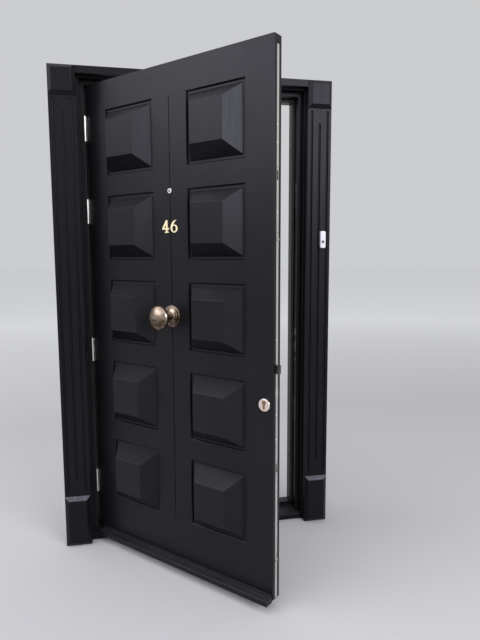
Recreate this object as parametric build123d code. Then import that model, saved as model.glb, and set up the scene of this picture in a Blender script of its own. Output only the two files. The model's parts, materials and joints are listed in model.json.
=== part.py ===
"""Panelled timber front door in its own frame, with the surround that dresses it.

Millimetres, +Z up, +X to the right seen from outside, +Y into the house. The origin
is on the underside of the sill, at the middle of the doorway, in the plane of the
closed leaf's outer face. Everything on the leaf is modelled closed and then swung
open about the hinge pins.
"""
import os
from math import asin, copysign, cos, radians, sin

from build123d import *

# Leaf
leaf_width = 945.0
leaf_height = 1977.0
leaf_thickness = 44.0
leaf_bottom = 40.4
leaf_gap = 4.0
leaf_arris = 1.5
open_angle = 47.0
stile_width = 120.5
muntin_width = 89.5
top_rail_height = 118.5
bottom_rail_height = 188.0
cross_rail_height = 89.5
panel_rows = 5
groove_width = 12.0
groove_depth = 12.0
groove_front = 16.0
arris_bevel = 3.0
centre_groove = 3.0

# Raised panels
panel_tongue = 10.0
panel_clearance = 0.2
panel_margin = 10.0
panel_face_setback = 8.0
panel_back_setback = 8.0
field_inset = 58.0
field_proud = 55.0
back_field_inset = 30.0
back_field_rise = 5.0
back_field_slope = 12.0

# Frame
jamb_thickness = 38.0
frame_depth = 98.0
seal_gap = 3.0
seal_clearance = 0.4
seal_width = 9.0
stop_projection = 13.0
tenon_thickness = 14.0
tenon_width = 30.0
tenon_front = 8.0
sill_tenon = 15.0
sill_nose = 32.0
sill_nose_height = 27.4
sill_back_height = 35.4
sill_upstand_height = 57.0
sill_nose_round = 5.0
drip_width = 6.0
drip_depth = 5.0
drip_setback = 7.0
fixing_radius = 5.0
fixing_setback = 72.0
fixing_spacing = 1500.0
fixing_height = 1040.0

# Reveal linings and surround
lining_setback = 19.4
lining_depth = 34.6
surround_setback = 26.7
surround_width = 110.8
surround_thickness = 34.0
surround_rebate = 6.0
rebate_gap = 1.0
plinth_height = 230.0
pilaster_top = 1957.4
corner_block_height = 121.5
plinth_proud = 15.0
plinth_bevel = 16.5
corner_proud = 14.0
corner_bevel = 15.5
flute_radius = 4.5
flute_places = (18.5, 55.4, 92.3)
flute_end = 45.0
flute_top_end = 15.5
middle_flute_step = 55.0

# Weather bar
bar_setback = 30.0
bar_end_gap = 3.0
bar_drop = 8.0
bar_proud = 37.0
bar_height = 30.0
bar_nose_height = 16.0
bar_lip = 6.0
bar_quirk = 9.0
bar_nose_round = 5.0
bar_drip_radius = 3.0
bar_drip_setback = 9.0
bar_hollow = 0.7

# Butt hinges
pin_setout = 8.0
pin_radius = 3.0
pin_clearance = 0.05
pin_head_radius = 5.5
pin_head_height = 2.5
knuckle_radius = 6.5
knuckle_gap = 0.3
knuckle_count = 5
hinge_length = 102.0
hinge_plate_depth = 34.0
hinge_plate_thickness = 2.5
hinge_plate_relief = 1.2
hinge_heights = (234.0, 843.0, 1449.0, 1797.0)
screw_places = ((-39.0, 14.0), (-13.0, 25.0), (13.0, 14.0), (39.0, 25.0))
screw_head_radius = 4.2
screw_radius = 2.2
screw_head_depth = 2.0
screw_length = 30.0

# Lock in the leaf's free edge
faceplate_width = 20.0
faceplate_thickness = 2.5
faceplate_bottom = 3.0
faceplate_top = 1947.0
lock_wall = 1.5
lock_fit = 0.2
slot_fit = 0.3
main_case_depth = 62.0
main_case_below = 177.0
main_case_above = 93.0
backset = 35.0
rail_width = 16.0
rail_thickness = 2.5
rail_travel = 18.0
rail_bottom = 120.0
rail_end_gap = 1.0
rail_groove_gap = 1.0
roller_radius = 5.5
roller_proud = 3.0
roller_heights = (150.0, 1312.0)
bolt_thickness = 16.0
latch_rise = 28.0
latch_size = 30.0
latch_proud = 12.0
latch_tail = 42.0
latch_nose = 4.0
deadbolt_fall = 55.0
deadbolt_size = 30.0
deadbolt_tail = 35.0
hook_rises = (-339.0, 688.0)
hook_setback = 14.0
hook_thickness = 8.0
hook_reach = 32.0
hook_arm = 14.0
hook_nose_start = 22.0
hook_nose_drop = 13.0
hook_pin_radius = 4.0
hook_boss_radius = 7.0
hook_slot_gap = 2.0
hook_case_depth = 40.0
hook_case_below = 20.0
hook_case_above = 48.0

# Keeps in the lock jamb
keep_width = 26.0
keep_thickness = 3.0
lower_keep_margins = (38.0, 67.0)
centre_keep_margins = (29.0, 47.0)
upper_keep_margins = (33.0, 74.0)
keep_clearance = 1.0
pocket_depth = 22.0
hook_pocket_drop = 20.0

# Lever, cylinder, escutcheon, backplate and thumbturn
lever_height = 832.0
cylinder_fall = 92.0
cylinder_radius = 8.5
cylinder_lobe_width = 10.0
cylinder_lobe_drop = 19.5
plug_radius = 6.5
plug_clearance = 0.05
cylinder_out = 5.0
cylinder_in = 8.5
cam_width = 10.0
cam_lobe_width = 8.0
cam_reach = 15.0
cam_clearance = 0.5
keyway_width = 2.2
keyway_height = 8.5
keyway_depth = 22.0
escutcheon_radius = 23.5
escutcheon_thickness = 9.0
escutcheon_drop = 8.0
escutcheon_round = 3.0
backplate_width = 32.0
backplate_below = 142.0
backplate_above = 63.0
backplate_thickness = 8.0
backplate_round = 2.0
lever_neck_radius = 8.5
lever_neck_fit = 0.1
lever_standoff = 48.0
lever_length = 118.0
lever_bar_height = 18.0
lever_bar_thickness = 11.0
lever_bar_round = 3.5
spindle_size = 8.0
thumbturn_depth = 22.0
thumbturn_length = 30.0
thumbturn_width = 13.0
thumbturn_collar = 7.0

# Pull knob
knob_height = 1021.0
rose_radius = 43.5
rose_thickness = 13.0
rose_rim = 4.4
rose_collar = 4.4
rose_cove = 1.6
rose_bead = 2.2
rose_bead_radius = 31.0
rose_bead_out = 6.6
neck_radius = 13.0
neck_waist = 2.5
knob_radius = 45.0
knob_rim_out = 75.0
knob_dome = 24.0
knob_neck_out = 42.0
knob_under_bow = 2.5
knob_rim_depth = 9.0
knob_rim_bead = 3.0
knob_rim_step = 1.0
knob_shank_radius = 5.0
shank_clearance = 0.2
nut_radius = 12.0
nut_height = 8.0
nut_side = 4.0
nut_dome = 4.0

# Door viewer
viewer_height = 1506.0
viewer_flange_radius = 10.0
viewer_flange_thickness = 3.0
viewer_barrel_radius = 7.0
viewer_eye_radius = 4.5
viewer_eye_depth = 2.0
viewer_chamfer = 1.5

# House numerals
numeral_height = 48.0
numeral_width = 35.0
numeral_thickness = 3.0
numeral_bottom = 1347.0
numeral_spacing = 44.0
numeral_stem = 8.2
numeral_hairline = 3.8
numeral_serif = 20.0
four_stem_left = 19.0
four_bar_bottom = 12.5
four_bar_thickness = 5.5
four_diagonal_foot = 9.7
six_bowl_height = 30.5
six_tip_setback = 5.0
six_outer_bow = 10.0
six_inner_bow = 4.7

# Bell push on the right pilaster
bell_width = 26.0
bell_length = 77.0
bell_thickness = 16.0
bell_corner = 6.0
bell_edge = 2.5
bell_inset = 72.8
bell_height = 1371.0
bell_button_drop = 10.0
bell_button_radius = 6.5
bell_button_gap = 0.3
bell_button_proud = 2.0
bell_button_round = 1.0
bell_button_travel = 1.5
bell_well_depth = 8.0

# Places worked out from the sizes above
leaf_left = -leaf_width / 2
leaf_right = leaf_width / 2
leaf_top = leaf_bottom + leaf_height
rebate_left = leaf_left - leaf_gap
rebate_right = leaf_right + leaf_gap
head_face = leaf_top + leaf_gap
head_top = head_face + jamb_thickness
stop_face = leaf_thickness + seal_gap
frame_right = rebate_right + jamb_thickness
lining_face = rebate_right + lining_setback
surround_inner = rebate_right + surround_setback
surround_outer = surround_inner + surround_width
surround_back = surround_rebate - lining_depth
surround_front = -lining_depth - surround_thickness
surround_top = pilaster_top + corner_block_height
opening_width = (leaf_width - 2 * stile_width - 2 * muntin_width) / 2
opening_height = (
    leaf_height - top_rail_height - bottom_rail_height - (panel_rows - 1) * cross_rail_height
) / panel_rows
row_pitch = opening_height + cross_rail_height
pin_x = leaf_left - leaf_gap / 2
pin_y = -pin_setout
groove_back = groove_front + groove_width
bolt_line = leaf_thickness / 2
faceplate_back = leaf_right - faceplate_thickness
rail_back = faceplate_back - lock_fit - rail_thickness
case_front = rail_back - lock_fit
hook_pivot_x = leaf_right - hook_setback
cylinder_x = leaf_right - backset
cylinder_height = lever_height - cylinder_fall
latch_height = lever_height + latch_rise
deadbolt_height = lever_height - deadbolt_fall
hook_heights = [lever_height + rise for rise in hook_rises]
main_case_bottom = lever_height - main_case_below
main_case_top = lever_height + main_case_above
keep_back = rebate_right + keep_thickness
keep_spans = (
    (hook_heights[0] - lower_keep_margins[0], hook_heights[0] + lower_keep_margins[1]),
    (deadbolt_height - centre_keep_margins[0], latch_height + centre_keep_margins[1]),
    (hook_heights[1] - upper_keep_margins[0], hook_heights[1] + upper_keep_margins[1]),
)
pocket_back = keep_back + pocket_depth
upper_rail_bottom = main_case_top + rail_end_gap
lower_rail_top = main_case_bottom - rail_travel - rail_end_gap
upper_rail_top = hook_heights[1] - hook_arm / 2 - rail_travel - 2 * rail_end_gap

# How far a cutter runs past what it cuts
overcut = 5.0


# Helpers
def block(x_range, y_range, z_range):
    """A rectangular block between three pairs of limits."""
    size = [high - low for low, high in (x_range, y_range, z_range)]
    middle = [(high + low) / 2 for low, high in (x_range, y_range, z_range)]
    return Pos(*middle) * Box(*size)


def front_plane(y):
    """The upright plane at depth y, facing out of the house, with local x, y as X, Z."""
    return Plane(origin=(0, y, 0), x_dir=(1, 0, 0), z_dir=(0, -1, 0))


def side_plane(x):
    """The upright plane across the doorway at x, with local x, y as Y, Z."""
    return Plane(origin=(x, 0, 0), x_dir=(0, 1, 0), z_dir=(1, 0, 0))


def through(sketch, y_front, y_back):
    """A sketch in X and Z given thickness between two depths."""
    return extrude(front_plane(y_back) * sketch, y_back - y_front)


def frustum(centre, size_front, y_front, size_back, y_back):
    """A rectangular pyramid with its point cut off, square to the leaf."""
    place = Pos(centre[0], centre[1])
    back = front_plane(y_back) * place * Rectangle(*size_back)
    front = front_plane(y_front) * place * Rectangle(*size_front)
    return loft([back, front])


def turned(profile, x, z):
    """A face of radius against depth, turned about an axis square to the leaf."""
    return Pos(x, 0, z) * revolve(profile, Axis.Y, 360)


def cap_middle(radius, base, crown):
    """The middle point of a spherical cap's arc, from its edge to its crown."""
    rise = crown - base
    sphere = (radius**2 + rise**2) / (2 * abs(rise))
    angle = asin(radius / sphere) / 2
    return sphere * sin(angle), crown - copysign(sphere * (1 - cos(angle)), rise)


def rod(radius, x, z, y_front, y_back):
    """A round bar square to the leaf."""
    return through(Pos(x, z) * Circle(radius), y_front, y_back)


def level(height):
    """The height above the sill's underside of a height above the leaf's foot."""
    return leaf_bottom + height


# Leaf joinery
def column_left(side):
    """The left edge of the left (-1) or right (+1) column of panel openings."""
    return -muntin_width - opening_width if side < 0 else muntin_width


def opening_bottom(row):
    """The lower edge of a panel opening, counted from 0 at the top."""
    return leaf_top - top_rail_height - opening_height - row * row_pitch


def opening_centre(side, row):
    return (column_left(side) + opening_width / 2, opening_bottom(row) + opening_height / 2)


def opening_bevels():
    """The bevelled arrises round every panel opening, on both faces of the leaf."""
    opening = (opening_width, opening_height)
    wide = (opening_width + 2 * arris_bevel, opening_height + 2 * arris_bevel)
    cutters = []
    for side in (-1, 1):
        for row in range(panel_rows):
            centre = opening_centre(side, row)
            cutters.append(frustum(centre, wide, 0, opening, arris_bevel))
            back = leaf_thickness - arris_bevel
            cutters.append(frustum(centre, opening, back, wide, leaf_thickness))
    return cutters


def stile(side):
    """A full-height outer upright with a groove down its inner edge."""
    inner = side * (leaf_width / 2 - stile_width)
    outer = side * leaf_width / 2
    body = block(sorted((inner, outer)), (0, leaf_thickness), (leaf_bottom, leaf_top))
    body = chamfer(body.edges().filter_by(Axis.Z).group_by(Axis.X)[-1 if side > 0 else 0], leaf_arris)
    groove_end = inner + side * groove_depth
    groove = block(sorted((inner, groove_end)), (groove_front, groove_back), (leaf_bottom, leaf_top))
    return body - groove


def muntin(side):
    """One half of the central upright: grooved outside, bevelled where the halves meet."""
    low = leaf_bottom + bottom_rail_height
    high = leaf_top - top_rail_height
    outer = side * muntin_width
    groove_end = outer - side * groove_depth
    body = block(sorted((0, outer)), (0, leaf_thickness), (low, high))
    body -= block(sorted((outer, groove_end)), (groove_front, groove_back), (low, high))
    bevel = Polygon((0, 0), (side * centre_groove, 0), (0, centre_groove), align=None)
    body -= extrude(Plane.XY.offset(low) * bevel, high - low)
    tongue_span = (low - groove_depth, high + groove_depth)
    return body + block(sorted((0, groove_end)), (groove_front, groove_back), tongue_span)


def rail(x_range, z_range, groove_below, groove_above):
    """A crosspiece grooved for the panels and tongued at its ends into the uprights."""
    low, high = z_range
    left, right = x_range
    slot = (groove_front, groove_back)
    body = block(x_range, (0, leaf_thickness), z_range)
    tongue_low, tongue_high = low, high
    if groove_below:
        tongue_low = low + groove_depth
        body -= block(x_range, slot, (low, tongue_low))
    if groove_above:
        tongue_high = high - groove_depth
        body -= block(x_range, slot, (tongue_high, high))
    reach = (left - groove_depth, right + groove_depth)
    return body + block(reach, slot, (tongue_low, tongue_high))


def outer_rails():
    span = (leaf_left + stile_width, leaf_right - stile_width)
    top = rail(span, (leaf_top - top_rail_height, leaf_top), True, False)
    bottom = rail(span, (leaf_bottom, leaf_bottom + bottom_rail_height), False, True)
    return top, bottom


def cross_rails():
    """The eight short rails between the panels."""
    rails = []
    for side in (-1, 1):
        left = column_left(side)
        for row in range(panel_rows - 1):
            high = opening_bottom(row)
            span = (high - cross_rail_height, high)
            rails.append(rail((left, left + opening_width), span, True, True))
    return rails


def panel(side, row):
    """A pyramid panel: tongue all round, sunk margin, steep slopes and a flat field."""
    centre = opening_centre(side, row)
    gap = panel_clearance
    body_size = (opening_width - 2 * gap, opening_height - 2 * gap)
    tongue_size = (opening_width + 2 * panel_tongue, opening_height + 2 * panel_tongue)
    foot = (opening_width - 2 * panel_margin, opening_height - 2 * panel_margin)
    field = (opening_width - 2 * field_inset, opening_height - 2 * field_inset)
    back_foot = (opening_width - 2 * back_field_inset, opening_height - 2 * back_field_inset)
    back_field = (back_foot[0] - 2 * back_field_slope, back_foot[1] - 2 * back_field_slope)
    back = leaf_thickness - panel_back_setback
    place = Pos(*centre)
    shape = through(place * Rectangle(*body_size), panel_face_setback, back)
    shape += through(place * Rectangle(*tongue_size), groove_front + gap, groove_back - gap)
    shape += frustum(centre, field, -field_proud, foot, panel_face_setback)
    shape += frustum(centre, back_foot, back, back_field, back + back_field_rise)
    return shape


def weather_bar():
    """The moulded bar along the leaf's foot that throws rain clear of the sill."""
    low = leaf_bottom - bar_drop
    nose_top = low + bar_nose_height
    top = low + bar_height
    nose = -bar_proud
    slope_start = (nose + bar_nose_round, nose_top + bar_nose_round)
    slope_end = (-bar_quirk, top - bar_lip)
    corner = bar_nose_round * (1 - cos(radians(45)))
    outline = Polyline((0, top), (0, low), (nose, low), (nose, nose_top))
    outline += ThreePointArc(
        (nose, nose_top), (nose + corner, nose_top + bar_nose_round - corner), slope_start
    )
    outline += SagittaArc(slope_start, slope_end, -bar_hollow)
    outline += Polyline(slope_end, (-bar_quirk, top), (0, top))
    left = leaf_left + bar_setback
    right = leaf_right - bar_end_gap
    bar = extrude(side_plane(left) * make_face(outline), right - left)
    drip = Pos(nose + bar_drip_setback, low) * Circle(bar_drip_radius)
    return bar - extrude(side_plane(left - overcut) * drip, right - left + 2 * overcut)


# Hinges
def upright_rod(radius, low, high):
    """A round bar on the hinge axis."""
    return Pos(pin_x, pin_y, (low + high) / 2) * Cylinder(radius, high - low)


def hinge_span(height):
    return level(height) - hinge_length / 2, level(height) + hinge_length / 2


def hinge_half(height, on_leaf):
    """One plate of a butt hinge with its share of the knuckles."""
    low, high = hinge_span(height)
    face = leaf_left if on_leaf else rebate_left
    outward = 1 if on_leaf else -1
    plate_x = sorted((face, face + outward * hinge_plate_thickness))
    half = block(plate_x, (-hinge_plate_relief, hinge_plate_depth), (low, high))
    pitch = (hinge_length + knuckle_gap) / knuckle_count
    for index in range(1 if on_leaf else 0, knuckle_count, 2):
        foot = low + index * pitch
        band = (foot, foot + pitch - knuckle_gap)
        half += block(plate_x, (pin_y, 0), band)
        half += upright_rod(knuckle_radius, *band)
    half -= upright_rod(pin_radius + pin_clearance, low - overcut, high + overcut)
    for screw in hinge_screws(height, on_leaf):
        half -= screw
    return half


def hinge_screws(height, on_leaf):
    """The countersunk screws of one hinge plate."""
    face = leaf_left if on_leaf else rebate_left
    outward = 1 if on_leaf else -1
    profile = Polygon(
        (0, 0),
        (screw_head_radius, 0),
        (screw_radius, screw_head_depth),
        (screw_radius, screw_length),
        (0, screw_length),
        align=None,
    )
    screw = revolve(profile, Axis.Y, 360)
    turn = Rot(0, 0, -90 * outward)
    return [Pos(face, y, level(height) + z) * turn * screw for z, y in screw_places]


def hinge_recess(height, on_leaf):
    """The housing cut in the timber for one hinge plate."""
    face = leaf_left if on_leaf else rebate_left
    outward = 1 if on_leaf else -1
    plate_x = sorted((face, face + outward * hinge_plate_thickness))
    return block(plate_x, (-hinge_plate_relief, hinge_plate_depth), hinge_span(height))


def hinge_pin(height):
    low, high = hinge_span(height)
    pin = upright_rod(pin_radius, low, high)
    return pin + upright_rod(pin_head_radius, high, high + pin_head_height)


# Lock
def across_leaf(width):
    """The depths of something centred in the leaf's thickness."""
    return bolt_line - width / 2, bolt_line + width / 2


def edge_hole(height_range, width, x_from):
    """A cutter for a hole in the free edge, from a place inside the leaf outwards."""
    span = (level(height_range[0]), level(height_range[1]))
    return block((x_from, leaf_right + overcut), across_leaf(width), span)


def centred(height, size, fit):
    return height - size / 2 - fit, height + size / 2 + fit


def hook_slot(height):
    """The heights that a turning hook sweeps at the leaf's edge."""
    return height - hook_arm / 2 - hook_slot_gap, height + hook_reach + hook_slot_gap


def roller_slot(height):
    reach = roller_radius + slot_fit
    return height - reach, height + rail_travel + reach


def lock_holes(x_from):
    """Cutters for every bolt that comes through the faceplate."""
    wide = bolt_thickness + 2 * slot_fit
    bolts = ((latch_height, latch_size), (deadbolt_height, deadbolt_size))
    holes = [edge_hole(centred(*bolt, slot_fit), wide, x_from) for bolt in bolts]
    for height in hook_heights:
        holes.append(edge_hole(hook_slot(height), hook_thickness + 2 * slot_fit, x_from))
    return holes


def lock_faceplate():
    """The long strip let into the leaf's free edge."""
    span = (level(faceplate_bottom), level(faceplate_top))
    plate = block((faceplate_back, leaf_right), across_leaf(faceplate_width), span)
    x_from = faceplate_back - lock_fit
    holes = lock_holes(x_from)
    for height in roller_heights:
        holes.append(edge_hole(roller_slot(height), 2 * (roller_radius + slot_fit), x_from))
    for hole in holes:
        plate -= hole
    return plate


def main_case_range():
    x_range = (leaf_right - main_case_depth, faceplate_back)
    return x_range, across_leaf(faceplate_width), (level(main_case_bottom), level(main_case_top))


def hook_case_range(height):
    x_range = (leaf_right - hook_case_depth, case_front)
    span = (level(height - hook_case_below), level(height + hook_case_above))
    return x_range, across_leaf(faceplate_width), span


def grown(ranges, amount):
    return [(low - amount, high + amount) for low, high in ranges]


def lock_cases():
    """The main gearbox shell and the two hook-bolt shells, each with its openings."""
    main = block(*main_case_range()) - block(*grown(main_case_range(), -lock_wall))
    main -= cylinder_bore(lock_fit, 0, leaf_thickness)
    main -= rod(lever_neck_radius, cylinder_x, level(lever_height), 0, leaf_thickness)
    shells = [main]
    for height in hook_heights:
        ranges = hook_case_range(height)
        shell = block(*ranges) - block(*grown(ranges, -lock_wall))
        shell += rod(hook_pin_radius, hook_pivot_x, level(height), *ranges[1])
        shells.append(shell)
    for hole in lock_holes(case_front - lock_wall):
        shells = [shell - hole for shell in shells]
    return shells


def drive_rails():
    """The two sliding rails behind the faceplate, with the rollers that they carry."""
    low, high = hook_slot(hook_heights[0])
    hook_gap = edge_hole((low - rail_travel, high), hook_thickness + 2 * slot_fit, rail_back)
    rails = []
    for span, roller_height in zip(
        ((rail_bottom, lower_rail_top), (upper_rail_bottom, upper_rail_top)), roller_heights
    ):
        x_range = (rail_back, faceplate_back - lock_fit)
        strip = block(x_range, across_leaf(rail_width), [level(height) for height in span])
        roller = side_plane(rail_back) * Pos(bolt_line, level(roller_height)) * Circle(roller_radius)
        strip += extrude(roller, leaf_right + roller_proud - rail_back)
        rails.append(strip - hook_gap)
    return rails


def lock_pockets():
    """Cutters for everything that the lock needs in the free-edge stile."""
    plate = (faceplate_back, leaf_right + overcut)
    span = (level(faceplate_bottom), level(faceplate_top))
    pockets = [block(plate, across_leaf(faceplate_width), span)]
    groove = (rail_back - lock_fit, leaf_right)
    pockets.append(block(groove, across_leaf(rail_width + 2 * rail_groove_gap), span))
    for ranges in [main_case_range()] + [hook_case_range(height) for height in hook_heights]:
        pockets.append(block(*grown(ranges, lock_fit)))
    pockets.append(cylinder_bore(slot_fit, 0, leaf_thickness))
    spindle_hole = rod(lever_neck_radius, cylinder_x, level(lever_height), bolt_line, leaf_thickness)
    pockets.append(spindle_hole)
    return pockets


def latch_bolt():
    """The sprung latch, bevelled on the side that meets the keep as the leaf shuts."""
    x_range = (leaf_right - latch_tail, leaf_right + latch_proud)
    span = [level(height) for height in centred(latch_height, latch_size, 0)]
    front, back = across_leaf(bolt_thickness)
    bolt = block(x_range, (front, back), span)
    corner = Polygon(
        (leaf_right + latch_proud, back),
        (leaf_right + latch_proud, front + latch_nose),
        (leaf_right, back),
        align=None,
    )
    return bolt - extrude(Plane.XY.offset(span[0]) * corner, latch_size)


def deadbolt():
    span = [level(height) for height in centred(deadbolt_height, deadbolt_size, 0)]
    return block((leaf_right - deadbolt_tail, leaf_right), across_leaf(bolt_thickness), span)


def hook_bolt(height):
    """A turning hook, drawn thrown and then turned up into the leaf."""
    outline = Circle(hook_boss_radius) + Pos(hook_reach / 2, 0) * Rectangle(hook_reach, hook_arm)
    nose_width = hook_reach - hook_nose_start
    nose = Pos(hook_nose_start + nose_width / 2, -hook_nose_drop / 2)
    outline += nose * Rectangle(nose_width, hook_nose_drop)
    outline -= Circle(hook_pin_radius + pin_clearance)
    place = Pos(hook_pivot_x, level(height)) * Rot(0, 0, 90)
    return through(place * outline, *across_leaf(hook_thickness))


def euro_profile(growth):
    """The section of the cylinder: a circle with a rounded lobe hanging from it."""
    lobe_width = cylinder_lobe_width + 2 * growth
    lobe = Pos(0, -cylinder_lobe_drop / 2) * Rectangle(lobe_width, cylinder_lobe_drop)
    foot = Pos(0, -cylinder_lobe_drop) * Circle(lobe_width / 2)
    return Circle(cylinder_radius + growth) + lobe + foot


def cylinder_bore(growth, y_front, y_back):
    place = Pos(cylinder_x, level(cylinder_height))
    return through(place * euro_profile(growth), y_front, y_back)


def cylinder_body():
    """The cylinder's housing, cut in the middle where the cam turns."""
    height = level(cylinder_height)
    ends = (-cylinder_out, leaf_thickness + cylinder_in)
    body = cylinder_bore(0, *ends)
    body -= rod(plug_radius + plug_clearance, cylinder_x, height, *ends)
    cam_space = across_leaf(cam_width + 2 * cam_clearance)
    return body - rod(cam_reach + cam_clearance, cylinder_x, height, *cam_space)


def cylinder_plug():
    """The turning plug with its keyway outside and its cam in the middle."""
    height = level(cylinder_height)
    end = leaf_thickness + cylinder_in + pin_clearance
    plug = rod(plug_radius, cylinder_x, height, -cylinder_out, end)
    lobe = Pos(0, -cam_reach / 2) * Rectangle(cam_lobe_width, cam_reach)
    cam = (Circle(cylinder_radius) + lobe) & Circle(cam_reach)
    plug += through(Pos(cylinder_x, height) * cam, *across_leaf(cam_width))
    keyway = Pos(cylinder_x, height) * Rectangle(keyway_width, keyway_height)
    return plug - through(keyway, -cylinder_out, keyway_depth - cylinder_out)


def thumbturn():
    """The grip inside that turns the cylinder by hand."""
    base = leaf_thickness + cylinder_in + pin_clearance
    place = Pos(cylinder_x, level(cylinder_height))
    collar = through(place * Circle(cylinder_radius), base, base + thumbturn_collar)
    outline = place * SlotOverall(thumbturn_length, thumbturn_width, 90)
    return collar + through(outline, base + thumbturn_collar, base + thumbturn_depth)


def outer_escutcheon():
    """The round guard over the cylinder's outer end."""
    height = level(cylinder_height) - escutcheon_drop
    disc = rod(escutcheon_radius, cylinder_x, height, -escutcheon_thickness, 0)
    disc = fillet(disc.edges().sort_by(Axis.Y)[0], escutcheon_round)
    return disc - cylinder_bore(lock_fit, -escutcheon_thickness, 0)


def inner_backplate():
    """The long plate inside that carries the lever and surrounds the thumbturn."""
    length = backplate_below + backplate_above
    middle = Pos(cylinder_x, level(lever_height - backplate_below + length / 2))
    outline = middle * RectangleRounded(backplate_width, length, backplate_width / 2 - backplate_round)
    face = leaf_thickness + backplate_thickness
    plate = through(outline, leaf_thickness, face)
    plate = fillet(plate.faces().sort_by(Axis.Y)[-1].edges(), backplate_round)
    plate -= cylinder_bore(lock_fit, leaf_thickness, face)
    neck_hole = lever_neck_radius + lever_neck_fit
    return plate - rod(neck_hole, cylinder_x, level(lever_height), leaf_thickness, face)


def lever_handle():
    """The inside lever with its square spindle; its free end points to the hinges."""
    height = level(lever_height)
    face = leaf_thickness + lever_standoff
    neck = rod(lever_neck_radius, cylinder_x, height, leaf_thickness + slot_fit, face)
    spindle = through(
        Pos(cylinder_x, height) * Rectangle(spindle_size, spindle_size),
        bolt_line - spindle_size / 2,
        leaf_thickness + lever_standoff / 2,
    )
    bar_place = Pos(cylinder_x + lever_bar_height / 2 - lever_length / 2, height)
    outline = bar_place * SlotOverall(lever_length, lever_bar_height)
    bar = through(outline, face - lever_bar_thickness / 2, face + lever_bar_thickness / 2)
    bar = fillet(bar.faces().sort_by(Axis.Y)[-1].edges(), lever_bar_round)
    return neck + spindle + bar


# Furniture on the outer face
def knob_rose():
    """The moulded disc that the pull knob stands on."""
    hole = neck_radius + shank_clearance
    half = rose_rim / 2
    bend = half * (1 - cos(radians(45)))
    rim_side = (rose_radius, -half)
    rim_top = (rose_radius - half, -rose_rim)
    cove_foot = (rose_radius - rose_rim, -rose_rim)
    cove_top = (hole + rose_collar, -rose_thickness)
    profile = Polyline((hole, 0), (rose_radius, 0), rim_side)
    profile += SagittaArc(rim_side, rim_top, bend)
    profile += Line(rim_top, cove_foot)
    profile += SagittaArc(cove_foot, cove_top, -rose_cove)
    profile += Polyline(cove_top, (hole, -rose_thickness), (hole, 0))
    bead = Pos(rose_bead_radius, -rose_bead_out) * Circle(rose_bead)
    return turned(make_face(profile) + bead, 0, level(knob_height))


def pull_knob():
    """The mushroom knob, its neck and the shank that passes through the leaf."""
    rim = -knob_rim_out
    crown = rim - knob_dome
    shank_end = leaf_thickness + nut_height - shank_clearance
    neck_foot = (neck_radius, -rose_thickness)
    neck_top = (neck_radius, -knob_neck_out)
    rim_back = (knob_radius, rim + knob_rim_depth)
    rim_front = (knob_radius - knob_rim_step, rim - knob_rim_depth)
    profile = Polyline((0, shank_end), (knob_shank_radius, shank_end), (knob_shank_radius, 0))
    profile += Polyline((knob_shank_radius, 0), (neck_radius, 0), neck_foot)
    profile += SagittaArc(neck_foot, neck_top, -neck_waist)
    profile += SagittaArc(neck_top, rim_back, knob_under_bow)
    profile += ThreePointArc(rim_back, (knob_radius + knob_rim_bead, rim), rim_front)
    dome = cap_middle(rim_front[0], rim_front[1], crown)
    profile += ThreePointArc(rim_front, dome, (0, crown))
    profile += Line((0, crown), (0, shank_end))
    return turned(make_face(profile), 0, level(knob_height))


def knob_nut():
    """The domed nut that holds the knob's shank on the inner face."""
    hole = knob_shank_radius + pin_clearance
    face = leaf_thickness
    rise = face + nut_height
    crown = rise + nut_dome
    side_top = (nut_radius, face + nut_side)
    profile = Polyline((0, rise), (hole, rise), (hole, face), (nut_radius, face), side_top)
    profile += ThreePointArc(side_top, cap_middle(*side_top, crown), (0, crown))
    profile += Line((0, crown), (0, rise))
    return turned(make_face(profile), 0, level(knob_height))


def door_viewer():
    """The peephole: two flanges joined by a barrel through the leaf."""
    height = level(viewer_height)
    back = leaf_thickness + viewer_flange_thickness
    viewer = rod(viewer_barrel_radius, 0, height, 0, leaf_thickness)
    for front, rear in ((-viewer_flange_thickness, 0), (leaf_thickness, back)):
        viewer += rod(viewer_flange_radius, 0, height, front, rear)
    rims = viewer.edges().filter_by(GeomType.CIRCLE).sort_by(Axis.Y)
    viewer = chamfer(rims[0], viewer_chamfer)
    viewer -= rod(viewer_eye_radius, 0, height, -viewer_flange_thickness, viewer_eye_depth)
    return viewer - rod(viewer_eye_radius, 0, height, back - viewer_eye_depth, back)


def furniture_bores():
    """Cutters through the central upright for the knob and the viewer."""
    knob = rod(knob_shank_radius + shank_clearance, 0, level(knob_height), 0, leaf_thickness)
    viewer = rod(viewer_barrel_radius + shank_clearance, 0, level(viewer_height), 0, leaf_thickness)
    return [knob, viewer]


def numeral_four():
    """A figure four with a heavy upright, a thin diagonal and a small foot."""
    stem_right = four_stem_left + numeral_stem
    bar_top = four_bar_bottom + four_bar_thickness
    bar_middle = Pos(numeral_width / 2, (four_bar_bottom + bar_top) / 2)
    stem_middle = (four_stem_left + stem_right) / 2
    figure = bar_middle * Rectangle(numeral_width, four_bar_thickness)
    figure += Pos(stem_middle, numeral_height / 2) * Rectangle(numeral_stem, numeral_height)
    figure += Pos(stem_middle, numeral_hairline / 2) * Rectangle(numeral_serif, numeral_hairline)
    return figure + Polygon(
        (0, bar_top),
        (four_diagonal_foot, bar_top),
        (stem_right, numeral_height),
        (four_stem_left, numeral_height),
        align=None,
    )


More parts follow.
